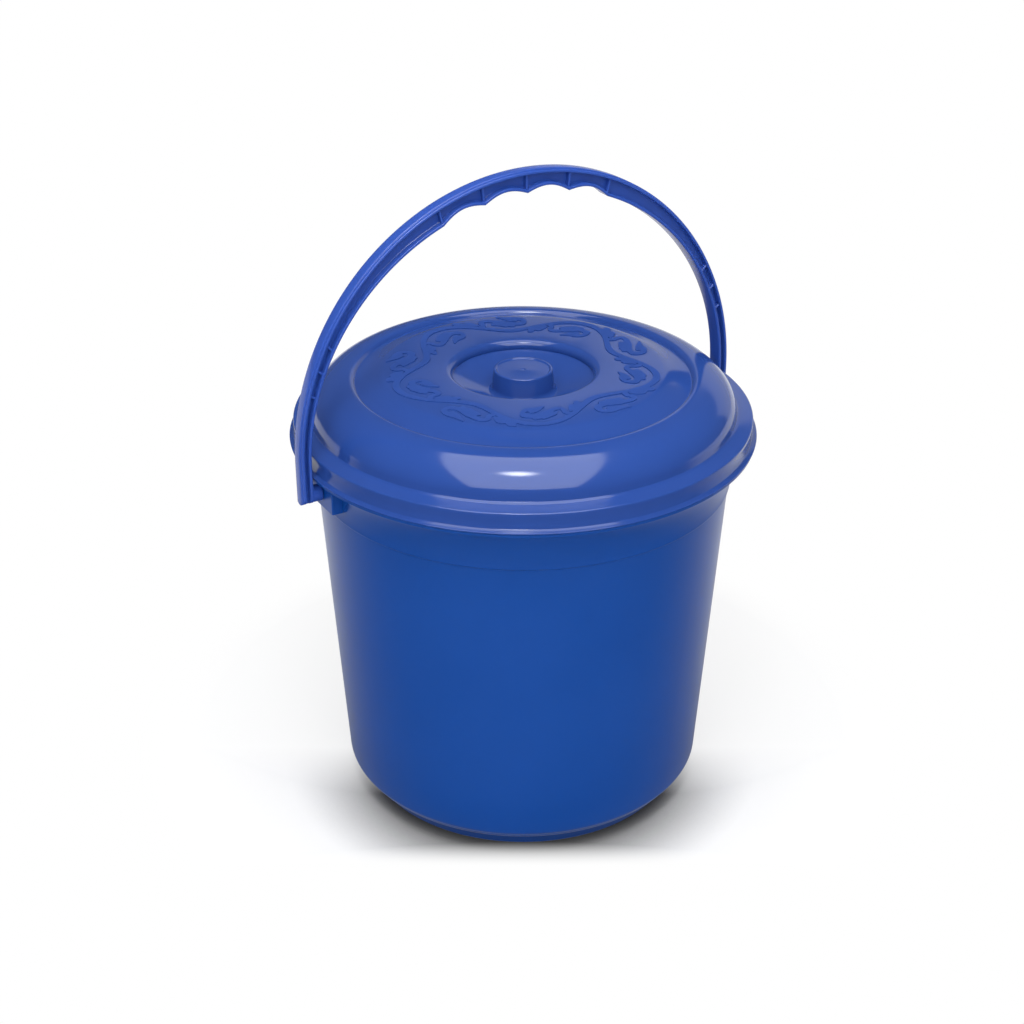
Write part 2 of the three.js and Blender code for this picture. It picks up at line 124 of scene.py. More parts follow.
# The scroll's leaf: millimetres along the mean circle past a crest, and out from it.
# Rows of three also give the width of a stroke there.
HOOK = [
    (18.4, 1.6, 3.6), (15.7, -1.8, 3.1), (16, -4.8, 3.1), (15, -7.2, 3.2), (12.4, -7.6, 3.4),
    (9.6, -6.6, 3.7), (5.5, -3.6, 4.6),
]
LEAF = [
    (9.2, -3.9), (10.9, -1.6), (8.2, 0.7), (5.5, 2.2), (2.3, 3.9), (1.2, 3.2), (-2.5, 4.1), (-4, 1.8),
    (-7.2, 1.4), (-9.4, 0), (-10.3, -3.5), (-9.6, -7), (-7.7, -9.3), (-4.1, -10.9), (0.7, -11.2),
    (5.8, -12.9), (5, -10.6), (3.2, -8.9), (5.5, -7.2),
]
SLIT = [
    (8, -10.8, 4.6), (4.4, -8.1, 2.9), (2, -6, 2), (-0.6, -4.4, 2), (-3, -3.3, 1.9), (-5.2, -3.7, 2.4),
    (-5.8, -4.9, 2.6), (-5.6, -6.2, 1),
]
LEAFLET = [
    (18.6, -1.4), (19, -4.6), (20.9, -8.4), (23.3, -9.8), (25.3, -9.3), (26.6, -11.8), (28.8, -12.6),
    (30.6, -11.8), (30.3, -9.4), (31.6, -7.6), (25.5, -4),
]

# Handle
ARCH_CENTRE = 235.4
ARCH_OUTER_HALF_SPAN = 142.4
ARCH_OUTER_HEIGHT = 144.9
ARCH_INNER_HALF_SPAN = 135.7
ARCH_INNER_HEIGHT = 132.3
HANDLE_HALF_DEPTH = 5.0
CROWN = 0.8
CROWN_HALF_DEPTH = 3.4
OUTER_FLANGE = 2.4
INNER_FLANGE = 1.8
HALF_WEB = 1.0
FINGER_ANGLE = 11.25
FINGERS = 4
FINGER_DEPTH = 3.2
RIB = 1.3
RIB_HALF_DEPTH = 3.8
LEG_RIB_ANGLES = (61.2, 67.1, 73.0)
STUD_RADIUS = 3.6
STUD_END = 126.8
BOSS_RADIUS = 4.8
LEG_END_RADIUS = 5.0
LEG_END_HALF_DEPTH = 0.4
LEG_END_STEPS = 8
ARCH_STEPS = 256

# Camera: place in millimetres right of, beyond and above the foot's middle, angles in degrees
CAMERA_HEADING = 30.1
CAMERA_PLACE = (-6.4, -948.4, 669.7)
CAMERA_PITCH = 27.79
FOCAL_PIXELS = 1797
FRAME_PIXELS = 1024
SENSOR_WIDTH = 36

# Stage: places in metres right of, beyond and above the foot's middle as the camera sees it
SOFTBOX_CORNERS = ((-0.42, 0.56, 1.65), (0.42, 0.56, 1.65), (1.1, -2.2, 0.95), (-1.1, -2.2, 0.95))
LAMP_PLACE = (-0.04, -0.6, 1.37)
LAMP_RADIUS = 0.22
BACKDROP_CORNERS = ((-2.5, 2.2, 0), (2.5, 2.2, 0), (2.5, 2.2, 1.27), (-2.5, 2.2, 1.27))
BACKDROP_DIM_TO_BRIGHT = (-0.25, 0.2)
FLOOR_SIZE = 12
FLOOR_DROP = 0.0002
FILL_RADIUS = 5

# Paper: how white it is, how far its painted contact shadow reaches, and where the camera sees it white
# further off and painted white over its shadow before and behind, in metres from the shadow's middle
# and in metres beyond the foot's middle
PAPER_WHITE = 0.76
PAINTED_SHADOW_REACH = 0.045
SHADOW_MIDDLE = (0, 0.035, 0)
SHADOW_FADE = (0.12, 0.25)
FRONT_FADE = (-0.12, -0.094)
BACK_FADE = (-0.05, 0.0)
BACK_FADE_SHARE = 0.75


def linear(colour_hex):
    """Linear RGBA from an sRGB hex colour."""
    values = [int(colour_hex[i:i + 2], 16) / 255 for i in (1, 3, 5)]
    return tuple(v / 12.92 if v <= 0.04045 else ((v + 0.055) / 1.055) ** 2.4 for v in values) + (1.0,)


class BucketSettings(bpy.types.PropertyGroup):
    pail_colour: bpy.props.FloatVectorProperty(
        name="Pail colour", description="Pigment of the pail", subtype="COLOR", size=4, min=0, max=1,
        default=linear("#043E8B"))
    lid_colour: bpy.props.FloatVectorProperty(
        name="Lid colour", description="Pigment of the lid", subtype="COLOR", size=4, min=0, max=1,
        default=linear("#234084"))
    handle_colour: bpy.props.FloatVectorProperty(
        name="Handle colour", description="Pigment of the handle", subtype="COLOR", size=4, min=0, max=1,
        default=linear("#28489A"))
    scroll_raise: bpy.props.FloatProperty(
        name="Scroll raise", description="How far the scroll border stands off the plate",
        default=0.4 * MM, min=0.1 * MM, max=0.4 * MM, unit="LENGTH")
    pail_roughness: bpy.props.FloatProperty(
        name="Pail roughness", description="How satin the pail's wall is", default=0.3, min=0, max=1,
        subtype="FACTOR")
    lid_roughness: bpy.props.FloatProperty(
        name="Lid roughness", description="How glossy the lid is", default=0.11, min=0, max=1,
        subtype="FACTOR")
    softbox_strength: bpy.props.FloatProperty(
        name="Softbox strength", description="Radiance of the large softbox over the bucket",
        default=3.4, min=0)
    lamp_strength: bpy.props.FloatProperty(
        name="Lamp strength", description="Radiance of the hot spot in the middle of the softbox",
        default=28.0, min=0)
    backdrop_strength: bpy.props.FloatProperty(
        name="Backdrop strength", description="Radiance of the white paper beyond the bucket",
        default=0.62, min=0)
    surround_strength: bpy.props.FloatProperty(
        name="Surround strength", description="Diffuse light that comes from all round the bucket",
        default=0.55, min=0)
    room_strength: bpy.props.FloatProperty(
        name="Room strength", description="How bright the room shows in mirror reflections",
        default=0.12, min=0)


def add_node(tree, kind, inputs=None, **settings):
    """Adds a node, with its settings, and its inputs as values or as sockets to link from."""
    node = tree.nodes.new(kind)
    for name, value in settings.items():
        setattr(node, name, value)
    for name, value in (inputs or {}).items():
        socket = node.inputs[name]
        if isinstance(value, bpy.types.NodeSocket):
            tree.links.new(value, socket)
        else:
            socket.default_value = value
    return node


def plastic(name, colour, roughness, grain_mm, grain_height_mm, shine=0.5):
    """Injection-moulded polypropylene: pigment that varies a little, and a fine grain from the mould."""
    material = bpy.data.materials.new(name)
    material.use_nodes = True
    tree = material.node_tree
    tree.nodes.clear()
    place = add_node(tree, "ShaderNodeTexCoord").outputs["Object"]
    cloud = add_node(tree, "ShaderNodeTexNoise", {"Vector": place, "Scale": 1 / (60 * MM), "Detail": 3.0})
    tint = add_node(tree, "ShaderNodeMapRange", {
        "Value": cloud.outputs["Fac"], "From Min": 0.3, "From Max": 0.7, "To Min": 0.97, "To Max": 1.03})
    hue = add_node(tree, "ShaderNodeHueSaturation", {
        "Color": tuple(colour), "Value": tint.outputs["Result"]})
    grain = add_node(tree, "ShaderNodeTexNoise", {
        "Vector": place, "Scale": 1 / (grain_mm * MM), "Detail": 2.0})
    bump = add_node(tree, "ShaderNodeBump", {
        "Height": grain.outputs["Fac"], "Distance": grain_height_mm * MM, "Strength": 1.0})
    wear = add_node(tree, "ShaderNodeMapRange", {
        "Value": cloud.outputs["Fac"], "From Min": 0.3, "From Max": 0.7,
        "To Min": roughness - 0.02, "To Max": roughness + 0.02})
    surface = add_node(tree, "ShaderNodeBsdfPrincipled", {
        "Base Color": hue.outputs["Color"], "Roughness": wear.outputs["Result"], "IOR": 1.49,
        "Specular IOR Level": shine, "Normal": bump.outputs["Normal"]})
    add_node(tree, "ShaderNodeOutputMaterial", {"Surface": surface.outputs["BSDF"]})
    return material


def object_from(mesh, name):
    """Links a bmesh, in millimetres, into the scene as an object in metres."""
    bmesh.ops.remove_doubles(mesh, verts=mesh.verts, dist=1e-4)
    bmesh.ops.recalc_face_normals(mesh, faces=mesh.faces)
    data = bpy.data.meshes.new(name)
    mesh.to_mesh(data)
    mesh.free()
    data.transform(Matrix.Scale(MM, 4))
    thing = bpy.data.objects.new(name, data)
    bpy.context.collection.objects.link(thing)
    return thing


def turned(profile, name, around=AROUND):
    """Turns a profile of (radius, height) pairs, whose ends lie on the axis, about Z."""
    mesh = bmesh.new()
    rings = []
    for radius, height in profile:
        if radius < 1e-6:
            rings.append([mesh.verts.new((0, 0, height))] * around)
            continue
        rings.append([
            mesh.verts.new((
                radius * math.cos(2 * math.pi * i / around),
                radius * math.sin(2 * math.pi * i / around), height))
            for i in range(around)])
    for low, high in zip(rings, rings[1:]):
        for i in range(around):
            j = (i + 1) % around
            corners = list(dict.fromkeys([low[i], low[j], high[j], high[i]]))
            mesh.faces.new(corners)
    return object_from(mesh, name)


def prism(outline, low, high, name="tool", place=None):
    """Extrudes an outline of (x, y) pairs between two heights, then moves it by a matrix."""
    mesh = bmesh.new()
    bottom = [mesh.verts.new((x, y, low)) for x, y in outline]
    top = [mesh.verts.new((x, y, high)) for x, y in outline]
    mesh.faces.new(bottom[::-1])
    mesh.faces.new(top)
    for i in range(len(outline)):
        j = (i + 1) % len(outline)
        mesh.faces.new([bottom[i], bottom[j], top[j], top[i]])
    if place:
        mesh.transform(place)
    return object_from(mesh, name)


def combine(target, tool, operation):
    """Joins or cuts one solid by another, then drops the tool."""
    bpy.context.view_layer.objects.active = target
    step = target.modifiers.new("combine", "BOOLEAN")
    step.object = tool
    step.operation = operation
    step.solver = "EXACT"
    bpy.ops.object.modifier_apply(modifier=step.name)
    bpy.data.objects.remove(tool)
    if not target.data.polygons:
        raise RuntimeError(f"nothing is left of {target.name}")


def shade(thing, degrees):
    """Smooth shading with sharp edges where faces meet at more than an angle."""
    mesh = bmesh.new()
    mesh.from_mesh(thing.data)
    for face in mesh.faces:
        face.smooth = True
    for edge in mesh.edges:
        edge.smooth = edge.calc_face_angle(0) < math.radians(degrees)
    mesh.to_mesh(thing.data)
    mesh.free()


def arc(cx, cy, rx, ry, start, end, steps):
    """Points along part of an ellipse, angles in degrees."""
    angles = [math.radians(start + (end - start) * i / steps) for i in range(steps + 1)]
    return [(cx + rx * math.cos(a), cy + ry * math.sin(a)) for a in angles]


def wall_radius(height):
    """Outer radius of the pail's tapered wall."""
    share = (height - FOOT_HEIGHT) / (NECK_HEIGHT - FOOT_HEIGHT)
    return BASE_RADIUS + (NECK_RADIUS - NECK_STEP - BASE_RADIUS) * share


def cove(inset, steps):
    """The flare from the neck line out to the flange, moved inwards by an inset."""
    rise = FLANGE_HEIGHT - FLANGE_THICKNESS - NECK_HEIGHT
    flare = FLANGE_RADIUS - NECK_RADIUS
    return [(r - inset, z) for r, z in arc(FLANGE_RADIUS, NECK_HEIGHT, -flare, rise, 0, 90, steps)]


def rim_height():
    return BRIM_HEIGHT - LID_WALL - CLEARANCE


def pail_profile():
    foot_inside = FOOT_RADIUS - FOOT_WALL
    rim_inside = RIM_RADIUS - RIM_WALL
    rim_top = rim_height()
    edge_top = FOOT_HEIGHT + BASE_EDGE_RADIUS
    floor_top = FLOOR_LIFT + FLOOR_THICKNESS
    inner_edge_top = floor_top + BASE_EDGE_RADIUS
    flange_underside = FLANGE_HEIGHT - FLANGE_THICKNESS
    return [
        (0, FLOOR_LIFT),
        (foot_inside - 1, FLOOR_LIFT),
        (foot_inside, FLOOR_LIFT - 1),
        (foot_inside, 0.4),
        (foot_inside + 0.4, 0),
        (FOOT_RADIUS - 0.4, 0),
        (FOOT_RADIUS, 0.4),
        (FOOT_RADIUS + FOOT_DRAFT - 0.1, FOOT_HEIGHT - 0.8),
        (FOOT_RADIUS + FOOT_DRAFT + 0.3, FOOT_HEIGHT - 0.2),
        (FOOT_RADIUS + FOOT_DRAFT + 1, FOOT_HEIGHT),
        *arc(wall_radius(edge_top) - BASE_EDGE_RADIUS, edge_top,
             BASE_EDGE_RADIUS, BASE_EDGE_RADIUS, -90, 0, 10),
        (wall_radius(NECK_HEIGHT - 1.2), NECK_HEIGHT - 1.2),
        (NECK_RADIUS - 0.2, NECK_HEIGHT - 0.9),
        (NECK_RADIUS + 0.15, NECK_HEIGHT - 0.6),
        (NECK_RADIUS + 0.3, NECK_HEIGHT - 0.2),
        (NECK_RADIUS + 0.2, NECK_HEIGHT + 0.3),
        *cove(0, 16)[1:],
        (FLANGE_RADIUS, FLANGE_HEIGHT - 0.3),
        (FLANGE_RADIUS - 0.3, FLANGE_HEIGHT),
        (RIM_RADIUS, FLANGE_HEIGHT),
        (RIM_RADIUS, rim_top - RIM_ROUNDING),
        *arc(RIM_RADIUS - RIM_ROUNDING, rim_top - RIM_ROUNDING, RIM_ROUNDING, RIM_ROUNDING, 0, 90, 4),
        *arc(rim_inside + RIM_ROUNDING, rim_top - RIM_ROUNDING, RIM_ROUNDING, RIM_ROUNDING, 90, 180, 4),
        (rim_inside, flange_underside - FLANGE_THICKNESS),
        *[(r, z) for r, z in reversed(cove(WALL, 16)) if r < rim_inside],
        *arc(wall_radius(inner_edge_top) - WALL - BASE_EDGE_RADIUS, inner_edge_top,
             BASE_EDGE_RADIUS, BASE_EDGE_RADIUS, 0, -90, 6),
        (0, floor_top),
    ]


def ear(side):
    """One hollow ear, open below, side +1 or -1 along X."""
    flange_underside = FLANGE_HEIGHT - FLANGE_THICKNESS
    bottom = flange_underside - EAR_DROP
    top = FLANGE_HEIGHT - FLANGE_THICKNESS / 2
    inside = NECK_RADIUS - EAR_HALF_WIDTH / 2
    turn = Matrix.Rotation(0 if side > 0 else math.pi, 4, "Z")
    lay = turn @ Matrix(((0, 0, 1, 0), (1, 0, 0, 0), (0, 1, 0, 0), (0, 0, 0, 1)))
    half = EAR_HALF_WIDTH
    spread = half + EAR_GUSSET_SPREAD
    chamfer = 0.5
    face = [(inside, -half), (EAR_REACH - chamfer, -half), (EAR_REACH, chamfer - half),
            (EAR_REACH, half - chamfer), (EAR_REACH - chamfer, half), (inside, half)]
    body = prism(face, bottom, top, "ear", turn)
    gusset = [(-half, bottom), (half, bottom), (spread, bottom + EAR_GUSSET_RISE), (spread, top),
              (-spread, top), (-spread, bottom + EAR_GUSSET_RISE)]
    combine(body, prism(gusset, inside - 1, EAR_GUSSET_REACH, place=lay), "UNION")
    well = [(0, EAR_WALL - half), (EAR_REACH - EAR_WALL, EAR_WALL - half),
            (EAR_REACH - EAR_WALL, half - EAR_WALL), (0, half - EAR_WALL)]
    combine(body, prism(well, 0, top - 0.4, place=turn), "DIFFERENCE")
    hole = arc(0, PIVOT_HEIGHT, EAR_HOLE_RADIUS, EAR_HOLE_RADIUS, 0, 352.5, 47)
    combine(body, prism(hole, EAR_REACH - 2 * EAR_WALL, EAR_REACH + EAR_WALL, place=lay), "DIFFERENCE")
    core = turned([
        (0, FOOT_HEIGHT),
        (wall_radius(FOOT_HEIGHT) - WALL / 2, FOOT_HEIGHT),
        *[(r, z) for r, z in cove(WALL / 2, 16) if r < RIM_RADIUS - RIM_WALL / 2],
        (RIM_RADIUS - RIM_WALL / 2, rim_height() - 1),
        (0, rim_height() - 1),
    ], "core")
    combine(body, core, "DIFFERENCE")
    return body


def lid_profile():
    crest_run = SHOULDER_RADIUS - CREST_RADIUS
    foot = BRIM_HEIGHT + BRIM_SLOPE
    rise = CREST_HEIGHT - foot
    groove = CREST_HEIGHT - GROOVE_DEPTH
    knob_foot = KNOB_RADIUS + KNOB_FLARE
    waist = KNOB_RADIUS + KNOB_DRAFT
    bowl_top = PLATE_HEIGHT - RECESS_EDGE_RADIUS
    fall = PLATE_HEIGHT - PLATE_BREAK_FALL
    inside = SKIRT_WAIST - LID_WALL
    dish = PLATE_HEIGHT - DISH_DEPTH
    return [
        (0, dish - 0.35),
        (0.9, dish - 0.35),
        (1.1, dish - 0.15),
        (1.7, dish + 0.05),
        (2.2, dish),
        (DISH_RADIUS - 0.4, dish),
        (DISH_RADIUS, dish + 0.25),
        (DISH_RADIUS + 0.25, PLATE_HEIGHT - 0.2),
        (DISH_RADIUS + 0.55, PLATE_HEIGHT),
        *arc(KNOB_RADIUS - KNOB_ROUNDING, PLATE_HEIGHT - KNOB_ROUNDING,
             KNOB_ROUNDING, KNOB_ROUNDING, 90, 0, 5),
        (waist, RECESS_FLOOR + 2 * KNOB_FLARE),
        *arc(waist + KNOB_FLARE, RECESS_FLOOR + KNOB_FLARE, KNOB_FLARE, KNOB_FLARE, 180, 248, 8),
        (knob_foot + 2.4, RECESS_FLOOR + 0.7),
        *arc(RECESS_RADIUS, bowl_top, -RECESS_EDGE_RADIUS, RECESS_EDGE_RADIUS, -20, 90, 12),
        (PLATE_FLAT_RADIUS, PLATE_HEIGHT),
        (PLATE_FLAT_RADIUS + 2, PLATE_HEIGHT - 0.33),
        (PLATE_BREAK_RADIUS, fall + 0.3),
        (PLATE_BREAK_RADIUS + 3, fall - 0.7),
        (GROOVE_RADIUS - 0.6, groove + 0.1),
        (GROOVE_RADIUS, groove + 0.15),
        (GROOVE_RADIUS + 0.3, groove + 0.6),
        (GROOVE_RADIUS + 0.9, groove + 1.5),
        (GROOVE_RADIUS + 1.7, groove + 2.2),
        *arc(CREST_RADIUS, foot, crest_run, rise, 90, 6, 22),
        (SHOULDER_RADIUS + 0.35, foot + 0.6),
        (SHOULDER_RADIUS + 1.1, foot - 0.05),
        (SHOULDER_RADIUS + 2, foot - 0.4),
        (BRIM_RADIUS - 1.2, BRIM_HEIGHT + 0.1),
        *arc(BRIM_RADIUS - 0.9, BRIM_HEIGHT - 0.8, 0.9, 0.9, 75, 0, 5),
        (SKIRT_WAIST + 0.05, BRIM_HEIGHT - 3.2),
        (SKIRT_WAIST, (BRIM_HEIGHT + LID_SEAT) / 2),
        (SKIRT_WAIST + 0.1, LID_SEAT + 3.2),
        (SKIRT_WAIST + 0.5, LID_SEAT + 1.9),
        (SKIRT_WAIST + 1.4, LID_SEAT + LIP_THICKNESS + 0.3),
        (LIP_RADIUS - 0.4, LID_SEAT + LIP_THICKNESS),
        (LIP_RADIUS - 0.05, LID_SEAT + LIP_THICKNESS - 0.2),
        (LIP_RADIUS - 0.05, LID_SEAT + 0.2),
        (LIP_RADIUS - 0.3, LID_SEAT),
        (SKIRT_WAIST + LID_WALL / 2, LID_SEAT),
        (inside, LID_SEAT + 2 * LID_WALL),
        (inside, BRIM_HEIGHT - LID_WALL),
        (SHOULDER_RADIUS - LID_WALL, foot - LID_WALL),
        *arc(CREST_RADIUS, foot - LID_WALL / 2, crest_run - LID_WALL, rise - LID_WALL, 0, 90, 14),
        (GROOVE_RADIUS, groove - LID_WALL),
        (PLATE_BREAK_RADIUS, fall - LID_WALL),
        (PLATE_FLAT_RADIUS, PLATE_HEIGHT - LID_WALL),
        *arc(RECESS_RADIUS, bowl_top - LID_WALL / 2, LID_WALL - RECESS_EDGE_RADIUS,
             RECESS_EDGE_RADIUS - LID_WALL, 90, 0, 5),
        (knob_foot, RECESS_FLOOR - LID_WALL),
        (knob_foot - LID_WALL, RECESS_FLOOR - LID_WALL),
        (waist - LID_WALL, RECESS_FLOOR + KNOB_FLARE),
        (KNOB_RADIUS - LID_WALL, dish - LID_WALL),
        (0, dish - LID_WALL),
    ]


def smooth_points(points, steps, closed=False):
    """Catmull-Rom samples through points of any dimension."""
    count = len(points)
    spans = count if closed else count - 1

    def control(i):
        return points[i % count] if closed else points[min(max(i, 0), count - 1)]

    found = []
    for span in range(spans):
        p0, p1, p2, p3 = (control(span + k) for k in (-1, 0, 1, 2))
        for s in range(steps):
            t = s / steps
            found.append(tuple(
                0.5 * (2 * b + (c - a) * t + (2 * a - 5 * b + 4 * c - d) * t * t
                       + (3 * b - a - 3 * c + d) * t ** 3)
                for a, b, c, d in zip(p0, p1, p2, p3)))
    if not closed:
        found.append(points[-1])
    return found


def stroke(points, steps):
    """Outline of a smooth stroke through (x, y, width) points."""
    line = smooth_points(points, steps)
    left, right = [], []
    for i, (x, y, width) in enumerate(line):
        before, after = line[max(i - 1, 0)], line[min(i + 1, len(line) - 1)]
        length = math.hypot(after[0] - before[0], after[1] - before[1])
        nx = -(after[1] - before[1]) / length * width / 2
        ny = (after[0] - before[0]) / length * width / 2
        left.append((x + nx, y + ny))
        right.append((x - nx, y - ny))
    return left + right[::-1]


def on_plate(degrees, along, out):
    angle = math.radians(degrees) + along / SCROLL_RADIUS
    radius = SCROLL_RADIUS + out
    return radius * math.cos(angle), radius * math.sin(angle)


def stem_edge(side):
    steps = SCROLL_WAVES * 60
    found = []
    for i in range(steps):
        turn = 360 * i / steps
        swing = SCROLL_SWING * math.cos(math.radians(SCROLL_WAVES * turn))
        found.append(on_plate(SCROLL_START + turn, 0, swing + side * SCROLL_STEM / 2))
    return found


def scroll(low, high):
    """The wavy stem, with leaves inside each crest and mirrored ones outside each trough."""
    border = prism(stem_edge(1), low, high, "scroll")
    combine(border, prism(stem_edge(-1), low - 1, high + 1), "DIFFERENCE")
    for half in range(2 * SCROLL_WAVES):
        start = SCROLL_START + 180 / SCROLL_WAVES * half
        side = -1 if half % 2 else 1

        def placed(outline):
            found = [on_plate(start, along, side * out) for along, out in outline]
            return found if side > 0 else found[::-1]

        leaf = prism(placed(smooth_points(LEAF, 5, True)), low, high)
        combine(leaf, prism(placed(stroke(SLIT, 6)), low - 1, high + 1), "DIFFERENCE")
        combine(border, leaf, "UNION")
        combine(border, prism(placed(stroke(HOOK, 6)), low, high), "UNION")
        combine(border, prism(placed(smooth_points(LEAFLET, 5, True)), low, high), "UNION")
    return border


def arch_point(half_span, height, degrees, out=0.0):
    angle = math.radians(90 - degrees)
    return (half_span + out) * math.cos(angle), ARCH_CENTRE + (height + out) * math.sin(angle)


def scallop(degrees):
    """How far the inner edge is scooped outwards at an angle from the crown."""
    reach = FINGERS / 2 * FINGER_ANGLE
    if abs(degrees) >= reach:
        return 0.0
    return FINGER_DEPTH * abs(math.sin(math.pi * degrees / FINGER_ANGLE))


def handle_section(outer, inner, limit):
    """Closed section between an outer and an inner edge point, with depths kept within a limit."""
    dx, dz = outer[0] - inner[0], outer[1] - inner[1]
    length = math.hypot(dx, dz)
    ux, uz = dx / length, dz / length
    deep = HANDLE_HALF_DEPTH
    half = [
        (length, 0), *arc(length - 0.6, CROWN_HALF_DEPTH - 0.6, 0.6, 0.6, 0, 90, 3),
        (length - CROWN, CROWN_HALF_DEPTH + 0.1), *arc(length - CROWN - 0.6, deep - 0.6, 0.6, 0.6, 0, 90, 4),
        *arc(length - OUTER_FLANGE + 0.35, deep - 0.35, 0.35, 0.35, 90, 180, 3),
        (length - OUTER_FLANGE, HALF_WEB + 0.3), (length - OUTER_FLANGE - 0.3, HALF_WEB),
        (INNER_FLANGE + 0.3, HALF_WEB), (INNER_FLANGE, HALF_WEB + 0.3),
        *arc(INNER_FLANGE - 0.45, deep - 0.45, 0.45, 0.45, 0, 90, 3),
        *arc(0.7, deep - 0.7, 0.7, 0.7, 90, 180, 4), (0, 0),
    ]
    ring = half + [(s, -y) for s, y in reversed(half[1:-1])]
    return [(inner[0] + ux * s, max(-limit, min(limit, y)), inner[1] + uz * s) for s, y in ring]


def handle_mesh():
    mesh = bmesh.new()
    stations = []
    for i in range(LEG_END_STEPS + 1):
        drop = LEG_END_RADIUS * math.cos(math.pi / 2 * i / LEG_END_STEPS)
        limit = max(LEG_END_RADIUS * math.sin(math.pi / 2 * i / LEG_END_STEPS), LEG_END_HALF_DEPTH)
        outer = (-ARCH_OUTER_HALF_SPAN, PIVOT_HEIGHT - drop)
        inner = (-ARCH_INNER_HALF_SPAN, PIVOT_HEIGHT - drop)
        stations.append((outer, inner, limit))
    for i in range(ARCH_STEPS + 1):
        degrees = -90 + 180 * i / ARCH_STEPS
        stations.append((
            arch_point(ARCH_OUTER_HALF_SPAN, ARCH_OUTER_HEIGHT, degrees),
            arch_point(ARCH_INNER_HALF_SPAN, ARCH_INNER_HEIGHT, degrees, scallop(degrees)),
            HANDLE_HALF_DEPTH))
    for outer, inner, limit in reversed(stations[:LEG_END_STEPS + 1]):
        stations.append(((-outer[0], outer[1]), (-inner[0], inner[1]), limit))
    rings = [[mesh.verts.new(p) for p in handle_section(*station)] for station in stations]
    size = len(rings[0])
    for a, b in zip(rings, rings[1:]):
        for i in range(size):
            j = (i + 1) % size
            mesh.faces.new([a[i], a[j], b[j], b[i]])
    mesh.faces.new(rings[0][::-1])
    mesh.faces.new(rings[-1])
    grips = [(i - FINGERS / 2) * FINGER_ANGLE for i in range(FINGERS + 1)]
    for degrees in [*grips, *LEG_RIB_ANGLES, *[-a for a in LEG_RIB_ANGLES]]:
        add_rib(mesh, degrees)
    return mesh


def add_rib(mesh, degrees):
    """A cross rib on both faces, from the inner flange to the outer one, with softened edges."""
    outer = Vector(arch_point(ARCH_OUTER_HALF_SPAN, ARCH_OUTER_HEIGHT, degrees))
    inner = Vector(arch_point(ARCH_INNER_HALF_SPAN, ARCH_INNER_HEIGHT, degrees))
    ahead = (outer - inner).normalized()
    across = Vector((-ahead.y, ahead.x))
    start = inner + ahead * INNER_FLANGE * 0.6
    end = outer - ahead * (OUTER_FLANGE * 0.7)
    half = RIB / 2
    section = [(-half, -RIB_HALF_DEPTH + 0.3), (0.3 - half, -RIB_HALF_DEPTH), (half - 0.3, -RIB_HALF_DEPTH),
               (half, -RIB_HALF_DEPTH + 0.3), (half, RIB_HALF_DEPTH - 0.3), (half - 0.3, RIB_HALF_DEPTH),
               (0.3 - half, RIB_HALF_DEPTH), (-half, RIB_HALF_DEPTH - 0.3)]
    rings = []
    for point in (start, end):
        rings.append([
            mesh.verts.new((point.x + across.x * s, y, point.y + across.y * s)) for s, y in section])
    for i in range(len(section)):
        j = (i + 1) % len(section)
        mesh.faces.new([rings[0][i], rings[0][j], rings[1][j], rings[1][i]])
    mesh.faces.new(rings[0][::-1])
    mesh.faces.new(rings[1])


def stud(side):
    """Boss and stud on the inside of one leg, as one turned pin along X."""
    leg = ARCH_INNER_HALF_SPAN + INNER_FLANGE / 2
    shoulder = EAR_REACH + CLEARANCE
    profile = [
        (0, STUD_END), (STUD_RADIUS - 0.5, STUD_END), (STUD_RADIUS, STUD_END + 0.5), (STUD_RADIUS, shoulder),
        (BOSS_RADIUS - 0.3, shoulder), (BOSS_RADIUS, shoulder + 0.3), (BOSS_RADIUS, leg), (0, leg),
    ]
    pin = turned(profile, "stud", 48)
    turn = Matrix.Rotation(math.pi / 2 if side > 0 else -math.pi / 2, 4, "Y")
    pin.data.transform(Matrix.Translation((0, 0, PIVOT_HEIGHT * MM)) @ turn)
    return pin


class BUCKET_OT_pail(bpy.types.Operator):
    """Builds the pail with its foot, cove, rim and two hollow ears"""

    bl_idname = "bucket.pail"
    bl_label = "Pail"

    def execute(self, context):
        settings = context.scene.bucket
        pail = turned(pail_profile(), "pail_fine")
        combine(pail, ear(1), "UNION")
        combine(pail, ear(-1), "UNION")
        shade(pail, 32)
        # Satin polypropylene: the room's edges show in it only as soft, pale bands
        pail.data.materials.clear()
        pail.data.materials.append(plastic(
            "injection-moulded polypropylene, satin", settings.pail_colour, settings.pail_roughness,
            0.9, 0.003, 0.3))
        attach(pail, "pail")
        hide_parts("pail")
        return {"FINISHED"}


class BUCKET_OT_lid(bpy.types.Operator):
    """Builds the lid with its dome, recess, knob and raised scroll border"""

    bl_idname = "bucket.lid"
    bl_label = "Lid"

    def execute(self, context):
        settings = context.scene.bucket
        lid = turned(lid_profile(), "lid_fine")
        # Gloss polypropylene: it mirrors the softbox with a clean edge
        lid.data.materials.append(plastic(
            "injection-moulded polypropylene, gloss", settings.lid_colour, settings.lid_roughness,
            1.6, 0.002))
        border = scroll(PLATE_HEIGHT - LID_WALL / 2, PLATE_HEIGHT + settings.scroll_raise / MM)
        # Matt polypropylene, spark-eroded in the mould: it stays dark where the plate mirrors the softbox
        border.data.materials.append(plastic(
            "injection-moulded polypropylene, eroded matt", settings.lid_colour, 0.85, 0.35, 0.02, 0.15))
        lid.data.materials.append(border.data.materials[0])
        border.data.materials.clear()
        combine(lid, border, "UNION")
        for face in lid.data.polygons:
            if face.center.z > PLATE_HEIGHT * MM + settings.scroll_raise / 4:
                face.material_index = 1
        shade(lid, 30)
        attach(lid, "pail")
        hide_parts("lid")
        return {"FINISHED"}


